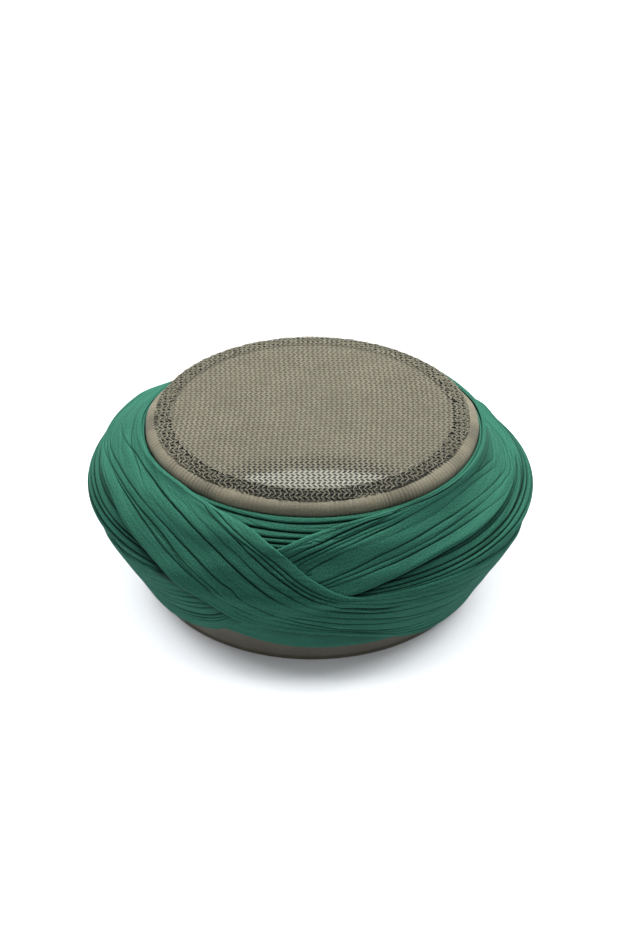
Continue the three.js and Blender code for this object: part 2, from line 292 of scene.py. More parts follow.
class Roll:
    """The padded roll's surface, by degrees round it and share of its outline."""

    def __init__(self, outline, steps=40):
        self.points = catmull_rom(outline, steps)
        lengths = np.linalg.norm(np.diff(self.points, axis=0), axis=1)
        self.length = lengths.sum()
        self.share = np.concatenate([[0], np.cumsum(lengths)]) / self.length
        self.dip = through(*zip(*CROSSING_DIP))
        along = np.gradient(self.points, self.share, axis=0)
        along /= np.linalg.norm(along, axis=1, keepdims=True)
        self.outward = np.stack([along[:, 1], -along[:, 0]], axis=1)

    def fullness(self, at, share):
        """How far the roll stands out past its outline."""
        shoulder = smoothstep(share, *SHOULDER_START) * (1 - smoothstep(share, *SHOULDER_END))
        dip = np.cos(np.radians(at)) ** 2 * self.dip(share)
        drop = BACK_DROP * backness(at) * smoothstep(share, *DROP_START)
        drop = drop + BACK_SLACK * backness(at, RIGHT_BEHIND) * smoothstep(share, *SLACK_START)
        drop = drop * (1 - smoothstep(share, *DROP_END))
        return -LEFT_SHOULDER * np.sin(np.radians(at)) * shoulder - dip - drop

    def section(self, at, share, height):
        """Radius and height of the point that lies a height above the roll."""
        share = np.clip(share, 0, 1)
        height = height + self.fullness(at, share)
        radius, level = (
            np.interp(share, self.share, self.points[:, k])
            + height * np.interp(share, self.share, self.outward[:, k])
            for k in (0, 1)
        )
        return radius, level - RIM_SAG * backness(at) * smoothstep(share, *SAG_START)


ROLL = Roll(ROLL_OUTLINE)


def turned(at, radius, height):
    """Points in millimetres at degrees round from the front."""
    angle = np.radians(at)
    return np.stack([radius * np.sin(angle), -radius * np.cos(angle), height], axis=-1)


def sections(quick, full):
    """Degrees round of a piece's sections from the back on, as many as a full run has; quick is not used.
    """
    turns = full
    return 180 + np.arange(turns) * 360 / turns


# Meshes


def make_mesh(name, points, faces, uvs=None, marks=None):
    """A smooth piece from points in millimetres. uvs are in millimetres, one for each face corner, and
    marks are values at the points that the materials read."""
    mesh = bpy.data.meshes.new(name)
    sides = faces.shape[1]
    mesh.vertices.add(len(points))
    mesh.vertices.foreach_set("co", (points * MM).astype(np.float32).ravel())
    mesh.loops.add(faces.size)
    mesh.loops.foreach_set("vertex_index", faces.astype(np.int32).ravel())
    mesh.polygons.add(len(faces))
    mesh.polygons.foreach_set("loop_start", np.arange(0, faces.size, sides, dtype=np.int32))
    mesh.polygons.foreach_set("use_smooth", np.ones(len(faces), dtype=bool))
    if uvs is not None:
        layer = mesh.uv_layers.new(name="cloth")
        layer.data.foreach_set("uv", (uvs * MM).astype(np.float32).ravel())
    for key, values in (marks or {}).items():
        data = mesh.attributes.new(key, "FLOAT", "POINT")
        data.data.foreach_set("value", values.astype(np.float32).ravel())
    mesh.update(calc_edges=True)
    mesh.validate()
    piece = bpy.data.objects.new(name, mesh)
    bpy.context.scene.collection.objects.link(piece)
    return piece


def ring_mesh(name, points, **marks):
    """A piece from sections that go once round: points[section, corner]."""
    turns, corners = points.shape[:2]
    i, j = np.meshgrid(np.arange(turns), np.arange(corners), indexing="ij")
    wrapped = np.concatenate([points, points[:, :1]], axis=1)
    across = np.cumsum(np.linalg.norm(np.diff(wrapped, axis=1), axis=2), axis=1)
    across = np.concatenate([np.zeros((turns, 1)), across], axis=1)
    reach = np.hypot(points[..., 0], points[..., 1]).mean()
    along = np.arange(turns + 1) * 2 * np.pi * reach / turns
    faces, uvs = [], []
    for a, b in ((0, 0), (1, 0), (1, 1), (0, 1)):
        section = (i + a) % turns
        faces.append(section * corners + (j + b) % corners)
        uvs.append(np.stack([along[i + a], across[section, j + b]], axis=-1))
    faces = np.stack(faces, axis=-1).reshape(-1, 4)
    uvs = np.stack(uvs, axis=-2).reshape(-1, 2)
    return make_mesh(name, points.reshape(-1, 3), faces, uvs, marks)


# Pleated cloth

EDGE_STEPS = np.array([0.0, 0.15, 0.4, 0.85, 1.8])  # millimetres from a crease
CREASE_REACH = 0.9  # how far from its middle a crease rounds a pleat off
EDGE_REACH = 1.4  # the same at a band's own edge
DARK_REACH = 0.38  # how far from its middle a crease one millimetre deep is darkened with painted shade
DARK_DEPTH = 1.2  # depth from which a crease's painted shade is full
DARK_LEAST = 0.1  # depth below which its painted shade line gets no narrower
PLEAT_TUCK = 0.3  # how much lower a pleat's upper side lies than its lower side
PLEAT_SWELL = 0.15  # how far its middle swells out
FULL_PLEAT = 8  # width from which a pleat tucks and swells fully
LEAST_PLEAT = 0.2  # width that is left of a pleat where its creases meet
SQUEEZED = 0.46  # share of a narrow pleat that the rows beside each of its creases take up


def pleated_rows(low, high, shares, depths, edge):
    """Rows across a pleated face: shares of the outline, heights below its top, and how much painted shade
    each row gets from the creases beside it. low, high: (n,); shares, depths: (n, creases); edge: depth of
    the two ends."""
    n = len(low)
    ends = np.zeros((n, 1))
    bounds = np.concatenate([ends, shares, ends + 1], axis=1)
    depth = np.concatenate([ends + edge, depths, ends + edge], axis=1)
    width = (high - low) * ROLL.length
    last = bounds.shape[1] - 2
    rows = []
    for k in range(last + 1):
        wide = np.maximum((bounds[:, k + 1] - bounds[:, k]) * width, LEAST_PLEAT)
        squeeze = np.minimum(1, SQUEEZED * wide / EDGE_STEPS[-1])
        starts = [d * squeeze for d in EDGE_STEPS] + [0.5 * wide]
        starts += [wide - d * squeeze for d in EDGE_STEPS[:0:-1]]
        if k == last:
            starts.append(wide)
        for above in starts:
            below = wide - above
            v = above / wide
            lower = depth[:, k] * crease_fall(above, k == 0)
            upper = depth[:, k + 1] * crease_fall(below, k == last)
            slack = np.minimum(1, wide / FULL_PLEAT)
            drop = np.maximum(lower, upper) + PLEAT_TUCK * slack * v * (1 - crease_fall(below, False))
            height = PLEAT_SWELL * slack * 4 * v * (1 - v) - drop
            lower_dark = darkness(above, depth[:, k]) * (k > 0)
            upper_dark = darkness(below, depth[:, k + 1]) * (k < last)
            part = bounds[:, k] + above / width
            rows.append((low + part * (high - low), height, np.maximum(lower_dark, upper_dark)))
    return (np.stack(column, axis=1) for column in zip(*rows))


def crease_fall(distance, at_edge):
    """1 in a crease or at a band's own edge, falling to 0 a little way from it."""
    if at_edge:
        near = 1 - np.clip(distance / EDGE_REACH, 0, 1)
        return 1 - np.sqrt(1 - near**2)
    return (1 - np.clip(distance / CREASE_REACH, 0, 1)) ** 2


def darkness(distance, depth):
    """How dark the painted shade of a crease is at a distance from its middle; a deep one is shaded over
    more of it.
    """
    reach = DARK_REACH * np.maximum(depth, DARK_LEAST)
    return np.clip(depth / DARK_DEPTH, 0, 1) * np.exp(-((distance / reach) ** 2))


def along_creases(at, column):
    """Each crease's share (column 1) or depth (column 2) at degrees along the course."""
    rows = [np.array(crease) for crease in CREASES]
    return np.stack([through(crease[:, 0], crease[:, column])(at) for crease in rows], axis=1)


def on_course(at):
    """Degrees moved by whole turns into the band's course."""
    return (at + 90) % 360 - 90


COURSE = {
    column: through([row[0] for row in BAND_COURSE], [row[k] for row in BAND_COURSE])
    for k, column in enumerate(("low", "high", "thick", "lip"), 1)
}
CREASE_START = -75  # degrees along the course where the tables of creases start
BAND_TURNS = (240, 860)
BAND_EDGE = 0.2  # how thick a band is at its two edges
CREASE_DRIFT, DEPTH_DRIFT = 0.003, 0.18  # how unevenly its creases run, and how much their depth varies
LINING_ROWS = 8
BAND_CLEAR = 0.3  # between a band and the roll
BAND_RIPPLE, RIPPLE_SWING = 0.12, 40  # unevenness of a band, and how fast it turns over across its width
COVERED_THIN = 0.6  # how much thinner a band is where the other one covers it
LIP_REACH = 7  # how far from its lower edge a band still stands off


def band_piece(name, course_start, seed):
    along = sections(*BAND_TURNS)
    at = along + course_start
    course = on_course(along)
    low, high = COURSE["low"](course), COURSE["high"](course)
    thick, lip = COURSE["thick"](course), COURSE["lip"](course)
    turn = (course - CREASE_START) % 360 + CREASE_START
    shares, depths = along_creases(turn, 1), along_creases(turn, 2)
    for k in range(shares.shape[1]):
        shares[:, k] += ripple(along, seed + k, (3, 7, 11, 17), CREASE_DRIFT)
        depths[:, k] *= 1 + ripple(along, seed + 20 + k, (4, 9, 13), DEPTH_DRIFT)
    shares = np.sort(shares, axis=1)
    share, height, fold = pleated_rows(low, high, shares, depths, thick[:, None] - BAND_EDGE)
    lining = low[:, None] + np.linspace(1, 0, LINING_ROWS) * (high - low)[:, None]
    share = np.concatenate([share, lining], axis=1)
    height = np.concatenate([height + thick[:, None], np.zeros_like(lining)], axis=1)
    # the lining under the band is given full painted shade
    fold = np.concatenate([fold, np.ones_like(lining)], axis=1)
    at, course = at[:, None], course[:, None]
    from_edge = (share - low[:, None]) * ROLL.length
    over, covered = crossing(course, share)
    under = np.cos(np.radians(course)) < 0
    # painted shade below the other band's lower edge, where this band lies under it
    fold = np.maximum(fold, np.where(under, edge_shade(on_course(course + 180), share), 0))
    stand_off = lip[:, None] * np.exp(-np.maximum(from_edge, 0) / LIP_REACH)
    height = height * (1 - COVERED_THIN * covered) + BAND_CLEAR + stand_off
    height += over
    height += ripple(at, seed + 40, (5, 8, 13, 21), BAND_RIPPLE) * np.cos(RIPPLE_SWING * share)
    radius, level = ROLL.section(at, share, height)
    return ring_mesh(name, turned(at, radius, level), fold=fold)


# Shade below a band's lower edge: degrees along the course, strength, reach in millimetres
EDGE_SHADE = (
    (-90, 0.3, 1.3),
    (-60, 0.4, 1.6),
    (-52, 0.7, 2.6),
    (-45, 0.9, 5.0),
    (-37, 1.0, 9.0),
    (-30, 1.0, 9.5),
    (-24, 0.8, 8.0),
    (-17, 0.5, 6.0),
    (-8, 0.5, 9.0),
    (5, 0.5, 10.0),
    (15, 0.4, 9.0),
    (27, 0.2, 6.0),
    (40, 0.0, 1.3),
    (180, 0.0, 1.3),
    (187, 0.8, 1.3),
    (196, 1.0, 1.3),
    (214, 1.0, 1.3),
    (230, 0.6, 1.3),
    (250, 0.3, 1.3),
    (270, 0.3, 1.3),
)
SHADE_OVERLAP = 3  # how far in under the band the shade still lies


def edge_shade(course, share):
    """How dark it is below the lower edge of the band that is at these degrees along its course."""
    at, strength, reach = zip(*EDGE_SHADE)
    below = (COURSE["low"](course) - share) * ROLL.length
    fade = np.exp(-((np.maximum(below, 0) / through(at, reach)(course)) ** 2))
    return through(at, strength)(course) * fade * (below > -SHADE_OVERLAP)


CROSSING_LIFT, CROSSING_CLEAR = 0.4, 0.5  # share of the other band's thickness, and a gap on top
LIFT_SPAN, COVER_SPAN = (-0.02, 0.1), (-0.05, -0.005)  # shares of the outline past the other band's edge


def crossing(course, share):
    """How far a band is lifted where it lies over the other one, and where it is covered by it."""
    other = on_course(course + 180)
    outside = np.maximum(COURSE["low"](other) - share, share - COURSE["high"](other))
    ahead = np.cos(np.radians(course)) > 0
    lift = CROSSING_LIFT * COURSE["thick"](other) + CROSSING_CLEAR
    lift = lift * (1 - smoothstep(outside, *LIFT_SPAN))
    return np.where(ahead, lift, 0), np.where(ahead, 0, 1 - smoothstep(outside, *COVER_SPAN))


ROLL_TURNS = (240, 560)
ROLL_ENDS = 1.2  # how far the roll's cloth is turned in at its two edges
ROLL_CLEAR = 0.4  # between the roll's inside and the cap or the rim
FOLD_DRIFT, FOLD_VARIES = 0.004, 0.2  # how unevenly its folds run, and how much their depth varies
# Heights of its inside: below the rim's middle, below the cap's top and above the floor
BELOW_RIM, BELOW_CAP_TOP, INSIDE_FOOT = 5, 2, 24


def roll_piece(name):
    at = sections(*ROLL_TURNS)
    turns = len(at)
    facing = (at + 90) % 180 - 90
    low = through(*zip(*ROLL_EDGE))(facing)
    high = np.full(turns, ROLL_TOP)
    shares, depths = [], []
    for k, (share, depth) in enumerate(ROLL_FOLDS):
        shares.append(share + ripple(at, 60 + k, (2, 3, 5, 9), FOLD_DRIFT))
        depths.append(depth * (1 + ripple(at, 90 + k, (3, 7, 11), FOLD_VARIES)))
    shares = (np.sort(np.stack(shares, axis=1), axis=1) - low[:, None]) / (high - low)[:, None]
    share, height, fold = pleated_rows(low, high, shares, np.stack(depths, axis=1), ROLL_ENDS)
    # painted shade below both bands' lower edges
    for course_start in (0, 180):
        fold = np.maximum(fold, edge_shade(on_course(at - course_start)[:, None], share))
    radius, level = ROLL.section(at[:, None], share, height)
    wall = HEAD_RADIUS + CAP_WALL + ROLL_CLEAR
    by_rim = (RIM_CENTRE + RIM_HALF_WIDTH + ROLL_CLEAR, RIM_HEIGHT - BELOW_RIM)
    inside = np.array([by_rim, (wall, CAP_HEIGHT - BELOW_CAP_TOP), (wall, INSIDE_FOOT)])
    radius = np.concatenate([radius, np.tile(inside[:, 0], (turns, 1))], axis=1)
    level = np.concatenate([level, np.tile(inside[:, 1], (turns, 1))], axis=1)
    # the roll's hidden inside is given full painted shade
    fold = np.concatenate([fold, np.ones((turns, len(inside)))], axis=1)
    return ring_mesh(name, turned(at[:, None], radius, level), fold=fold)


# Cap and crown

CAP_TURNS = (96, 240)
HEM_SINK = 1.3  # how far the hem lies below the roll's surface
HEM_UNEVEN = 0.3
HEM_SEAT = 0.25  # least height of the hem's outer side
HEM_ROWS, WALL_ROWS = 26, 16
FOOT_INNER, FOOT_OUTER = 0.4, 0.6  # how far the flat foot's rows lie in from its edges
WALL_FOOT = 31.0  # height where the hem joins the cap's wall


def cap_piece(name):
    at = sections(*CAP_TURNS)
    outside = HEAD_RADIUS + CAP_WALL
    foot = [(HEAD_RADIUS, 0.0), (HEAD_RADIUS + FOOT_INNER, 0.0), (HEM_FOOT - FOOT_OUTER, 0.0)]
    wall = [(outside, WALL_FOOT), (outside, CAP_HEIGHT), (HEAD_RADIUS, CAP_HEIGHT)]
    wall += [(HEAD_RADIUS, level) for level in np.linspace(CAP_HEIGHT, 0, WALL_ROWS)[1:-1]]
    share = np.tile(np.linspace(0, HEM_TOP, HEM_ROWS), (len(at), 1))
    uneven = ripple(at, 7, (5, 9, 14, 23), HEM_UNEVEN)[:, None] * np.sin(np.pi * share / HEM_TOP)
    radius, level = ROLL.section(at[:, None], share, uneven - HEM_SINK)
    hem = np.stack([radius, np.maximum(level, HEM_SEAT)], axis=-1)
    foot, wall = (np.tile(rows, (len(at), 1, 1)) for rows in (foot, wall))
    outline = np.concatenate([foot, hem, wall], axis=1)
    return ring_mesh(name, turned(at[:, None], outline[..., 0], outline[..., 1]))


RIM_TURNS = (360, 1500)
RIM_SIDES = 26
RIM_GATHERS = 236
GATHER_DEPTH, FLATTER = 0.29, 0.2  # depth of the gathers, and how much less it is in front and behind
GATHER_RANGE = (0.02, 0.6)  # least and greatest depth
GATHER_DRIFT, GATHER_VARIES = 2.2, 0.12  # how unevenly they are spaced, and how much their depth varies
GATHER_ROUND = 0.8  # below 1, the ribs are rounder and the creases between them narrower
GATHER_DARK = 0.5  # depth from which a gather's painted shade is full
SEWN_FLAT = 0.6  # how much flatter the gathers are where the rim is sewn to the roll
SEWN_AT, SEWN_WIDTH, SEWN_DRIFT = 0.2, 0.5, 0.25  # radians up from the rim's outer side
RIM_UNEVEN = 0.12


def rim_piece(name):
    """Padded rim whose cloth is gathered in fine, uneven ribs, with painted shade in the creases between
    them.
    """
    at = sections(*RIM_TURNS)
    phase = np.radians(at) * RIM_GATHERS + ripple(at, 11, (6, 11, 17, 29), GATHER_DRIFT)
    rib = np.abs(np.sin(phase / 2)) ** GATHER_ROUND
    strength = GATHER_DEPTH - FLATTER * np.cos(np.radians(at)) ** 8
    strength = strength + ripple(at, 12, (7, 13, 31, 57), GATHER_VARIES)
    angle = 2 * np.pi * np.arange(RIM_SIDES) / RIM_SIDES
    lean = ripple(at, 13, (40, 63, 88), SEWN_DRIFT)[:, None]
    sewn = 1 - SEWN_FLAT * np.exp(-(((angle - SEWN_AT - lean) / SEWN_WIDTH) ** 2))
    depth = (1 - rib)[:, None] * np.clip(strength, *GATHER_RANGE)[:, None] * sewn
    depth = depth + ripple(at, 14, (9, 15, 22), RIM_UNEVEN)[:, None]
    radius = RIM_CENTRE + (RIM_HALF_WIDTH - depth) * np.cos(angle)
    level = RIM_HEIGHT - RIM_SAG * backness(at)[:, None] + (RIM_HALF_HEIGHT - depth) * np.sin(angle)
    # painted shade in the gathers' creases, darker where they are deeper
    fold = np.clip(depth / GATHER_DARK, 0, 1)
    return ring_mesh(name, turned(at[:, None], radius, level), fold=fold)


def rim_level(at, radius):
    """Height of the rim's upper side."""
    across = np.clip((radius - RIM_CENTRE) / RIM_HALF_WIDTH, -1, 1)
    return RIM_HEIGHT - RIM_SAG * backness(at) + RIM_HALF_HEIGHT * np.sqrt(1 - across**2)


CROWN_HEIGHT, CROWN_DOME = 104.6, 1.2  # height of the crown's cloth in the middle, and its fall to the edge
FOLD_ASIDE, FOLD_CURVE = 2, 0.004  # how far right the front fold's middle lies, and how it curves
FOLD_START, FOLD_ENDS = (62, 64), (36, 44)  # how far forward it starts, and how far aside it ends
FOLD_LIFT, HOLLOW_DEPTH = 0.4, 2.5
HOLLOW_START, HOLLOW_END, HOLLOW_ENDS = (42, 51), (60.5, 62.5), (36, 56)  # the same of the hollow


def along_fold(x, y):
    """How far forward a place lies, past the front fold's curve, and how far aside of its middle."""
    return -y - FOLD_CURVE * (x - FOLD_ASIDE) ** 2, np.abs(x - FOLD_ASIDE)


def front_fold(x, y):
    """1 on the crescent of crown cloth that is folded over near the front edge."""
    forward, aside = along_fold(x, y)
    return smoothstep(forward, *FOLD_START) * (1 - smoothstep(aside, *FOLD_ENDS))


def front_hollow(x, y):
    """1 in the hollow just behind the front fold."""
    forward, aside = along_fold(x, y)
    middle = 1 - smoothstep(aside, *HOLLOW_ENDS)
    return middle * smoothstep(forward, *HOLLOW_START) * (1 - smoothstep(forward, *HOLLOW_END))


def disc_heights(x, y):
    """Height of the crown's cloth: slightly domed, with a hollow behind the front fold."""
    level = CROWN_HEIGHT - CROWN_DOME * (np.hypot(x, y) / PANEL_RADIUS) ** 2
    return level - HOLLOW_DEPTH * front_hollow(x, y) + FOLD_LIFT * front_fold(x, y)


PANEL_GRID = ((72, 20), (220, 70))
PANEL_EYE = 0.4  # radius of the pinhole that its sections leave in the middle
PANEL_THICK, UNDERSIDE_RINGS = 1.6, 5
PANEL_TURN_IN, TURN_IN_WIDTH = 1.2, 2.5  # how far its edge goes down into the rim, and over what width


def panel_piece(name):
    turns, rings = PANEL_GRID[1]
    at = np.arange(turns) * 360 / turns
    upper = np.linspace(PANEL_EYE, PANEL_RADIUS, rings)
    radius = np.concatenate([upper, np.linspace(PANEL_RADIUS, PANEL_EYE, UNDERSIDE_RINGS + 1)[1:]])
    points = turned(at[:, None], radius, np.zeros((turns, len(radius))))
    x, y = points[..., 0], points[..., 1]
    below = np.concatenate([np.zeros(rings), np.full(UNDERSIDE_RINGS, PANEL_THICK)])
    edge = PANEL_TURN_IN * smoothstep(radius, PANEL_RADIUS - TURN_IN_WIDTH, PANEL_RADIUS)
    points[..., 2] = disc_heights(x, y) - below - edge
    # the hollow behind the front fold carries painted shade through the fold mark
    crescent, hollow = front_fold(x, y)[:, ::-1], front_hollow(x, y)[:, ::-1]
    return ring_mesh(name, points[:, ::-1], crescent=crescent, fold=hollow)


# The net

NET_PITCH = 2.9  # between its knitted columns
NET_ROW, HEM_ROW = 2.62, 3.2  # between its rows, and between those of its hem
NET_LEAN = 1.1  # how far a column leans to each side
NET_STRAND, NET_KNOT = 0.52, 0.24  # radius of a strand in its middle and at its knots
HEM_STRAND, HEM_KNOT = 0.36, 0.18  # the same where the hem pulls it tight
NET_LINK = 0.17  # radius of the links between columns
STRAND_SIDES, STRAND_FLAT = 6, 0.75  # sides of a strand's section, and its height by its width
STRAND_ARCH, LINK_SINK = 0.2, 0.2  # how far a strand's middle rises and a link lies lower
NET_HEM = 82.0  # radius where the turned-under hem starts
FRONT_HEM = 0.5  # how much deeper the hem is at the front
NET_EDGE = 90.0
FRONT_SHADE = 0.34  # how much darker the hem's thread is at the front
SIDE_SHADE = 0.45  # share of a layer's shading that is left at the sides and the back
# Spans across the hem's line over which knots lie less evenly, strands thin, painted shade sets in on the
# thread and the painted highlight ends
PULL_SPAN, THIN_SPAN, SHADE_SPAN, HIGHLIGHT_SPAN = (-3, 3), (-2, 1), (-1, 1), (-2, 0)
# Heights of the net from its middle out: radius, height
NET_LEVELS = (
    (0.0, 105.9),
    (40.0, 105.8),
    (68.0, 105.7),
    (75.0, 105.6),
    (80.0, 105.2),
    (85.0, 104.6),
    (88.0, 104.2),
    (90.2, 103.6),
)
# The net's layers: shift of its knots, row spacing, whether it lies in the hem, how deep and how shaded
NET_LAYERS = (
    ((0, 0), NET_ROW, False, 0, 0),
    ((0, 0), HEM_ROW, True, 0, 0),
    ((1.45, 1.6), HEM_ROW, True, 0.45, 0.93),
)

SHADE_STRIP_TURNS = 180
SHADE_STRIP_FADE = (1, 1, 1, 1, 1, 0.7, 0.4)  # how dark the painted shade strip's rings are, from the inner edge to the rim
SHADE_STRIP_INNER = 1.5  # how far inside the hem's line it starts
SHADE_STRIP_SINK, SHADE_STRIP_FOOT = 0.75, 0.9  # how far below the net it lies, and its last ring at least
SHADE_STRIP_BED = 0.2  # how far that ring lies in from the net's edge and down into the rim


def frontness(x, y):
    """1 straight in front of the crown's middle, falling to 0 at its sides."""
    return np.clip(-y / np.maximum(np.hypot(x, y), 1e-6), 0, 1) ** 2


def past_hem(x, y):
    """How far a place lies outside the line where the net's hem starts."""
    return np.hypot(x, y) - NET_HEM + FRONT_HEM * frontness(x, y)


def net_strands(shift, spacing, in_hem):
    """Ends of the net's strands, and of the links between their knots: knitted columns that lean left
    and right in turn."""
    columns, rows = int(NET_EDGE / NET_PITCH) + 3, int(NET_EDGE / spacing) + 3
    column, row = (a.ravel() for a in np.meshgrid(np.arange(-columns, columns), np.arange(-rows, rows)))

    def knot(column, row):
        lean = NET_LEAN * (1 - 2 * (row % 2))
        return np.stack([column * NET_PITCH + lean, row * spacing], axis=1) + shift

    here = knot(column, row)
    for ends in (knot(column, row + 1), knot(column + 1, row)):
        middle = (here + ends) / 2
        keep = (np.hypot(*middle.T) < NET_EDGE) & ((past_hem(*middle.T) > 0) == in_hem)
        yield here[keep], ends[keep]


NET_PULL, HEM_PULL = 0.1, 0.25  # how uneven the knots lie, and how much more in the hem
NET_DRIFT = 1.2  # how far the rows and columns wander


def unevenly(points):
    """Moves points of the net a little, the same way for the same place."""
    x, y = points.T
    sway = np.sin(x * 1.7 + y * 0.9) + np.sin(y * 2.3 - x * 0.4)
    shift = np.stack([sway, np.cos(y * 1.9 + x * 1.1)], axis=1)
    drift = np.stack([np.sin(y * 0.05 + 1), 0.8 * np.sin(x * 0.045 + y * 0.02)], axis=1)
    pull = NET_PULL + HEM_PULL * smoothstep(past_hem(x, y), *PULL_SPAN)
    return points + pull[:, None] * shift + NET_DRIFT * drift


def tubes(stations, radii, sides):
    """Points and faces of open tubes, a little flattened: stations[k] holds every tube's k-th point."""
    run = stations[-1] - stations[0]
    side = np.cross(run, (0, 0, 1))
    side /= np.maximum(np.linalg.norm(side, axis=1, keepdims=True), 1e-9)
    lift = np.cross(side, run)
    lift /= np.maximum(np.linalg.norm(lift, axis=1, keepdims=True), 1e-9)
    around = 2 * np.pi * np.arange(sides) / sides
    ring = side[:, None] * np.cos(around)[:, None] + STRAND_FLAT * lift[:, None] * np.sin(around)[:, None]
    rings = [place[:, None] + radius[:, None, None] * ring for place, radius in zip(stations, radii)]
    points = np.concatenate(rings, axis=1).reshape(-1, 3)
    first = np.arange(len(run))[:, None] * len(radii) * sides
    k = np.arange(sides)
    after = (k + 1) % sides
    faces = []
    for step in range(len(radii) - 1):
        base = first + sides * step
        corners = [base + k, base + after, base + sides + after, base + sides + k]
        faces.append(np.stack(corners, axis=-1).reshape(-1, 4))
    return points, np.vstack(faces)


NET_LEVEL = through(*zip(*NET_LEVELS))


def laid(flat, sink):
    """Points of the net from their places on the flat, sunk below its height."""
    flat = unevenly(flat)
    reach = np.maximum(np.hypot(*flat.T), 1e-6)
    flat = flat * np.minimum(1, NET_EDGE / reach)[:, None]
    return np.column_stack([flat, NET_LEVEL(np.minimum(reach, NET_EDGE)) - sink])


def shade_strip():
    """Points and faces of the black strip of painted shade under the net's hem, whose last ring goes down
    to the rim.
    """
    at = (np.arange(SHADE_STRIP_TURNS) * 360 / SHADE_STRIP_TURNS)[:, None]
    rings = len(SHADE_STRIP_FADE)
    hem = NET_HEM - SHADE_STRIP_INNER - FRONT_HEM * np.clip(np.cos(np.radians(at)), 0, 1) ** 2
    reach = hem + (NET_EDGE - hem) * np.linspace(0, 1, rings - 1)
    edge = np.full_like(hem, NET_EDGE - SHADE_STRIP_BED)
    foot = np.minimum(rim_level(at, edge), NET_LEVEL(edge) - SHADE_STRIP_FOOT) - SHADE_STRIP_BED
    levels = np.hstack([NET_LEVEL(reach) - SHADE_STRIP_SINK, foot])
    points = turned(at, np.hstack([reach, edge]), levels).reshape(-1, 3)
    i, j = (a.ravel() for a in np.meshgrid(np.arange(SHADE_STRIP_TURNS), np.arange(rings - 1), indexing="ij"))
    here, ahead = i * rings + j, (i + 1) % SHADE_STRIP_TURNS * rings + j
    return points, np.stack([here, ahead, ahead + 1, here + 1], axis=1)


def net_piece(name):
    """The crown's net, with its edge turned under and sewn down over a black strip of painted shade."""
    parts = []
    for shift, spacing, hemmed, sink, shaded in NET_LAYERS:
        (starts, ends), (link_starts, link_ends) = net_strands(shift, spacing, hemmed)
        middles = (starts + ends) / 2
        in_hem = smoothstep(past_hem(*middles.T), *THIN_SPAN)
        knot = NET_KNOT + (HEM_KNOT - NET_KNOT) * in_hem
        thick = NET_STRAND + (HEM_STRAND - NET_STRAND) * in_hem
        thin = np.full(len(link_starts), NET_LINK)
        strand = (laid(starts, sink), laid(middles, sink - STRAND_ARCH), laid(ends, sink))
        link = (laid(link_starts, sink + LINK_SINK), laid(link_ends, sink + LINK_SINK))
        for stations, radii in ((strand, (knot, thick, knot)), (link, (thin, thin))):
            points, faces = tubes(stations, radii, STRAND_SIDES)
            x, y = points[:, :2].T
            # painted shade on the thread: the hem darker at the front, the lower layer dark
            hem_shade = FRONT_SHADE * frontness(x, y) * smoothstep(past_hem(x, y), *SHADE_SPAN)
            painted_net_shade = np.maximum(hem_shade, shaded * (SIDE_SHADE + (1 - SIDE_SHADE) * frontness(x, y)))
            # painted highlight on the thread over the crown's front fold
            painted_highlight = front_fold(x, y) * (1 - smoothstep(past_hem(x, y), *HIGHLIGHT_SPAN))
            parts.append((points, faces, painted_net_shade, painted_highlight))
    # the black strip of painted shade under the hem
    points, faces = shade_strip()
    parts.append((points, faces, np.tile(SHADE_STRIP_FADE, SHADE_STRIP_TURNS), np.zeros(len(points))))
    points, faces, painted_net_shade, painted_highlight = zip(*parts)
    first = np.cumsum([0, *(len(p) for p in points[:-1])])
    faces = np.vstack([part + start for part, start in zip(faces, first)])
    marks = {"painted_net_shade": np.concatenate(painted_net_shade), "painted_highlight": np.concatenate(painted_highlight)}
    return make_mesh(name, np.vstack(points), faces, marks=marks)


# Materials


class Shade:
    """A value in a material's nodes, so that its sums can be written as plain expressions."""

    def __init__(self, material, socket=None):
        self.material, self.socket = material, socket

    def node(self, kind, settings=None, inputs=None, output=0):
        """A new node: its settings are set first, then its inputs by name or number."""
        made = self.material.node_tree.nodes.new(kind)
        for key, value in (settings or {}).items():
            setattr(made, key, value)
        for key, value in (inputs or {}).items():
            if isinstance(value, Shade):
                self.material.node_tree.links.new(value.socket, made.inputs[key])
            else:
                made.inputs[key].default_value = value
        return Shade(self.material, made.outputs[output])

    def sum(self, operation, *values):
        """One step of a sum on values, or on vectors where this one is a vector."""
        kind = "ShaderNodeVectorMath" if self.socket.type == "VECTOR" else "ShaderNodeMath"
        return self.node(kind, {"operation": operation}, dict(enumerate(values)))

    def __add__(self, other):
        return self.sum("ADD", self, other)

    def __sub__(self, other):
        return self.sum("SUBTRACT", self, other)

    def __rsub__(self, other):
        return self.sum("SUBTRACT", other, self)

    def __mul__(self, other):
        return self.sum("MULTIPLY", self, other)

    __rmul__ = __mul__

    def __pow__(self, other):
        return self.sum("POWER", self, other)

    def between(self, low, high):
        """0 below low, 1 above high, smooth between."""
        inputs = {"Value": self, "From Min": low, "From Max": high}
        return self.node("ShaderNodeMapRange", {"interpolation_type": "SMOOTHSTEP"}, inputs)

    def mix(self, first, second):
        """The first colour where this value is 0, the second where it is 1."""
        inputs = {0: self, 6: first, 7: second}
        return self.node("ShaderNodeMix", {"data_type": "RGBA"}, inputs, output=2)


def noise(place, scale, detail):
    return place.node("ShaderNodeTexNoise", None, {"Vector": place, "Scale": scale, "Detail": detail})


def mark(shade, name):
    """A value that a piece's mesh carries at its points."""
    return shade.node("ShaderNodeAttribute", {"attribute_name": name}, output="Fac")


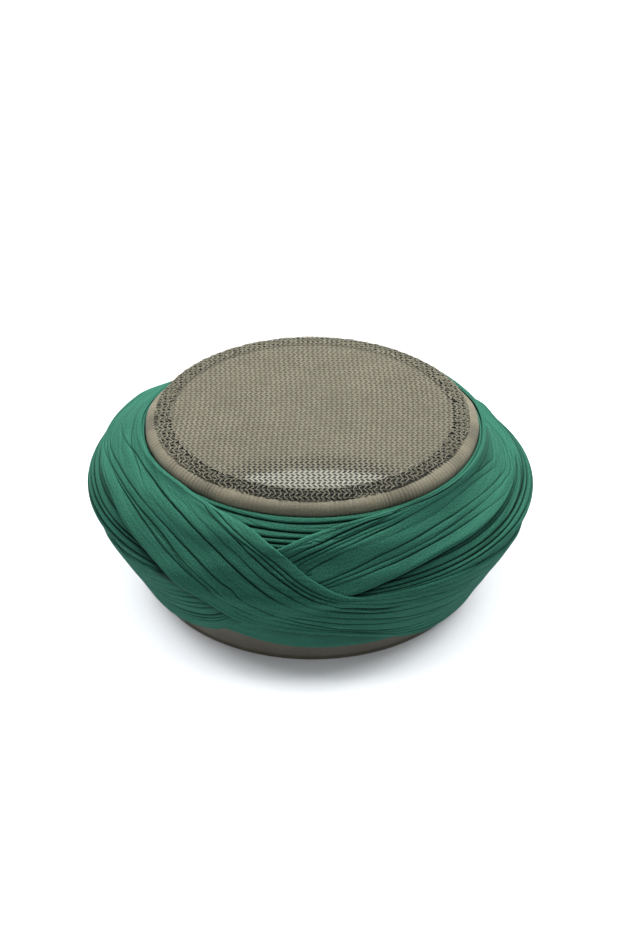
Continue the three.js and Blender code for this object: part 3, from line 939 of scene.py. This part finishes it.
def bump(height, strength, distance):
    inputs = {"Strength": strength, "Distance": distance, "Height": height}
    return height.node("ShaderNodeBump", None, inputs)


def new_material(name, **constants):
    """A material and its surface shader, with the shader's constant values set on its own sockets."""
    material = bpy.data.materials.new(name)
    material.use_nodes = True
    surface = material.node_tree.nodes["Principled BSDF"]
    for socket, value in constants.items():
        surface.inputs[socket.replace("_", " ")].default_value = value
    return material, surface


def connect(surface, **values):
    for socket, value in values.items():
        surface.id_data.links.new(value.socket, surface.inputs[socket.replace("_", " ")])


GREEN_LIT = (0.051, 0.222, 0.148, 1)
GREEN_DEEP = (0.0275, 0.131, 0.087, 1)
# painted shade: what creases, fine fold lines and hidden undersides are darkened to
GREEN_PAINTED_SHADE = (0.002, 0.014, 0.010, 1)
GREEN_SHEEN = (0.55, 0.85, 0.7, 1)
KHAKI_LIT = (0.27, 0.245, 0.165, 1)
KHAKI_DEEP = (0.2, 0.181, 0.122, 1)
# painted shade for the rim's gathers and the crown's hollow
KHAKI_PAINTED_SHADE = (0.016, 0.015, 0.01, 1)
KHAKI_FOLD = (0.07, 0.07, 0.052, 1)  # the crown's cloth where it is folded over at the front
# a darker copy of the khaki: painted shade for the low hem, which faces down
SHADED_HEM_PALE = (0.108, 0.092, 0.057, 1)
SHADED_HEM_DEEP = (0.078, 0.066, 0.041, 1)
CROWN_LIT = (0.16, 0.145, 0.098, 1)  # the crown's cloth, seen through the net
CROWN_DEEP = (0.11, 0.099, 0.066, 1)
THREAD_PALE = (0.42, 0.4, 0.295, 1)
THREAD_DARK = (0.285, 0.272, 0.198, 1)
THREAD_HIGHLIGHT = (0.58, 0.58, 0.48, 1)  # painted highlight where the crown's front fold catches the light
# painted shade: the black of the strip under the net's hem
SHADE_STRIP_BLACK = (0.006, 0.007, 0.006, 1)


def green_cloth():
    """Fine ribbed crepe: cross ribs, streaks along the pleats, and painted shade in its creases and fine
    fold lines.
    """
    material, surface = new_material(
        "green cloth",
        Specular_IOR_Level=0.08,
        Sheen_Weight=0.02,
        Sheen_Roughness=0.4,
        Sheen_Tint=GREEN_SHEEN,
    )
    shade = Shade(material)
    cloth = shade.node("ShaderNodeUVMap", {"uv_map": "cloth"})
    streaks = noise(cloth * (18, 700, 18), 1.0, 2.0)
    ribs = noise(cloth * (1500, 1100, 1500), 1.0, 1.0)
    patches = noise(cloth * (30, 90, 30), 1.0, 3.0)
    # fine fold lines, bumped and darkened with painted shade
    fine_folds_and_shade = noise(cloth * (5, 210, 5), 1.0, 1.0).between(0.6, 0.74)
    tone = 0.3 * streaks + 0.15 * patches + 0.55 * ribs
    colour = tone.between(0.4, 0.6).mix(GREEN_DEEP, GREEN_LIT)
    colour = (0.42 * fine_folds_and_shade).mix(colour, GREEN_PAINTED_SHADE)
    # painted shade from the fold mark: creases, under the bands' edges, and the hidden lining
    colour = (mark(shade, "fold") ** 0.8).mix(colour, GREEN_PAINTED_SHADE)
    height = ribs + 0.6 * streaks - 2 * fine_folds_and_shade
    connect(surface, Base_Color=colour, Normal=bump(height, 0.8, 0.0006), Roughness=0.9 - 0.15 * ribs)
    return material


def khaki_cloth(name, deep, lit):
    """Matt cotton with a fine weave, and painted shade in its gathers and in the hollow behind the crown's
    front fold.
    """
    material, surface = new_material(name, Sheen_Weight=0.08, Sheen_Roughness=0.5)
    shade = Shade(material)
    place = shade.node("ShaderNodeTexCoord", output="Object")
    weave = noise(place, 1400, 1.0)
    patches = noise(place, 45, 3.0)
    colour = (0.35 * patches + 0.65 * weave).between(0.35, 0.65).mix(deep, lit)
    # painted shade from the fold mark
    colour = (0.9 * mark(shade, "fold")).mix(colour, KHAKI_PAINTED_SHADE)
    colour = mark(shade, "crescent").mix(colour, KHAKI_FOLD)
    connect(surface, Base_Color=colour, Normal=bump(weave, 0.35, 0.0005), Roughness=0.85 - 0.2 * patches)
    return material


def net_thread():
    """Dull grey knitted thread with painted shade and a painted highlight, and the black strip of painted
    shade under its hem.
    """
    material, surface = new_material("net thread", Specular_IOR_Level=0.12)
    shade = Shade(material)
    place = shade.node("ShaderNodeTexCoord", output="Object")
    strands = noise(place, 900, 2.0)
    patches = noise(place, 60, 2.0)
    colour = (0.75 * strands + 0.25 * patches).between(0.36, 0.64).mix(THREAD_DARK, THREAD_PALE)
    # painted highlight over the crown's front fold
    colour = mark(shade, "painted_highlight").mix(colour, THREAD_HIGHLIGHT)
    # painted shade on the thread and on the black strip
    colour = mark(shade, "painted_net_shade").mix(colour, SHADE_STRIP_BLACK)
    connect(surface, Base_Color=colour, Roughness=0.7 - 0.25 * strands)
    return material


# Assembly


def add(piece, material, node):
    piece.data.materials.append(material)
    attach(piece, "root")
    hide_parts(node)
    return piece


green, thread = green_cloth(), net_thread()
khaki = khaki_cloth("khaki cloth", KHAKI_DEEP, KHAKI_LIT)
crown_khaki = khaki_cloth("crown cloth", CROWN_DEEP, CROWN_LIT)
# the hem's khaki in painted shade
shaded_hem_khaki = khaki_cloth("hem cloth in painted shade", SHADED_HEM_DEEP, SHADED_HEM_PALE)
cap = add(cap_piece("cap_and_hem"), shaded_hem_khaki, "cap_wall")
rim = add(rim_piece("gathered_rim"), khaki, "crown_rim")
panel = add(panel_piece("crown_cloth"), crown_khaki, "crown_panel")
net = add(net_piece("knitted_net"), thread, "crown_net")
roll = add(roll_piece("wound_roll"), green, "padded_roll")
left = add(band_piece("left_pleats", 0, 100), green, "left_band")
right = add(band_piece("right_pleats", 180, 200), green, "right_band")

# Stage

FLOOR_REACH = 6.0
FLOOR_PAINT = (0.6, 0.61, 0.63, 1)
FLOOR_GLOW = (0.66, 0.7, 0.75, 1)  # pale light thrown back up by the floor
SKY_GLOW = (0.14, 0.15, 0.165, 1)
HORIZON = (-0.3, 0.1)  # upward part of the direction over which the one glow turns into the other
TURBAN_MIDDLE, FLOOR_MIDDLE = (0, 0, 0.06), (0, 0, 0)
# Lights that shine on the turban alone: name, place, width, watts
TURBAN_LIGHTS = (
    ("key behind", (0.15, 1.15, 1.95), 1.1, 66),
    ("left side", (-1.7, 0.3, 0.8), 1.0, 9),
    ("right side", (1.7, 0.3, 0.8), 1.0, 9),
    ("top", (0, -0.1, 2.0), 1.0, 9),
)
# Lights that shine on the floor alone, where only the cap throws a shadow
FLOOR_LIGHTS = (
    ("left floor", (-1.3, 0.55, 1.9), 1.3, 84),
    ("right floor", (1.3, 0.55, 1.9), 1.3, 84),
    ("floor wash", (0, 0, 2.0), 9.0, 240),
)


def studio():
    """A pale floor with lights of its own, and soft lights behind, beside and above the turban."""
    floor_mesh = bpy.data.meshes.new("floor")
    corners = [(x * FLOOR_REACH, y * FLOOR_REACH, 0) for x, y in ((-1, -1), (1, -1), (1, 1), (-1, 1))]
    floor_mesh.from_pydata(corners, [], [(0, 1, 2, 3)])
    floor = bpy.data.objects.new("floor", floor_mesh)
    bpy.context.scene.collection.objects.link(floor)
    floor_mesh.materials.append(new_material("floor", Base_Color=FLOOR_PAINT, Roughness=0.8)[0])
    floor.visible_diffuse = False  # its light on the turban comes from FLOOR_GLOW

    world = bpy.data.worlds.new("studio")
    bpy.context.scene.world = world
    world.use_nodes = True
    direction = Shade(world).node("ShaderNodeTexCoord", output="Generated")
    upward = direction.node("ShaderNodeSeparateXYZ", None, {0: direction}, output="Z")
    glow = upward.between(*HORIZON).mix(FLOOR_GLOW, SKY_GLOW)
    connect(world.node_tree.nodes["Background"], Color=glow)

    turban_lights = [soft_light(name, place, TURBAN_MIDDLE, *rest) for name, place, *rest in TURBAN_LIGHTS]
    floor_lights = [soft_light(name, place, FLOOR_MIDDLE, *rest) for name, place, *rest in FLOOR_LIGHTS]
    floor_only, all_but_floor, cap_only = (
        bpy.data.collections.new(group) for group in ("floor only", "all but floor", "cap only")
    )
    floor_only.objects.link(floor)
    all_but_floor.objects.link(floor)
    all_but_floor.collection_objects[0].light_linking.link_state = "EXCLUDE"
    cap_only.objects.link(cap)
    for light in turban_lights:
        light.light_linking.receiver_collection = all_but_floor
    for light in floor_lights:
        light.light_linking.receiver_collection = floor_only
        light.light_linking.blocker_collection = cap_only


def soft_light(name, place, target, size, power):
    lamp = bpy.data.lights.new(name, "AREA")
    lamp.size = size
    lamp.energy = power
    light = bpy.data.objects.new(name, lamp)
    light.location = place
    light.rotation_euler = (Vector(target) - Vector(place)).to_track_quat("-Z", "Y").to_euler()
    bpy.context.scene.collection.objects.link(light)
    return light


CAMERA_LENS, CAMERA_SENSOR = 85, 36  # millimetres
CAMERA_CLIP = (0.05, 50)
CAMERA_AWAY = 1.278  # metres from the point below
CAMERA_POINT = (-0.0012, 0.055)  # how far to the side and how high, in the turban's middle
CAMERA_ELEVATION, CAMERA_PITCH = math.radians(33.06), math.radians(32.54)


def photo_camera():
    """The camera's angle to the turban: about 33 degrees above the floor, straight in front."""
    lens = bpy.data.cameras.new("camera")
    lens.lens = CAMERA_LENS
    lens.sensor_width = CAMERA_SENSOR
    lens.clip_start, lens.clip_end = CAMERA_CLIP
    camera = bpy.data.objects.new("camera", lens)
    aside, height = CAMERA_POINT
    forward, up = CAMERA_AWAY * math.cos(CAMERA_ELEVATION), CAMERA_AWAY * math.sin(CAMERA_ELEVATION)
    camera.location = (aside, -forward, height + up)
    camera.rotation_euler = (math.pi / 2 - CAMERA_PITCH, 0, 0)
    bpy.context.scene.collection.objects.link(camera)
    bpy.context.scene.camera = camera


studio()
photo_camera()
bpy.context.scene.view_settings.view_transform = "Standard"
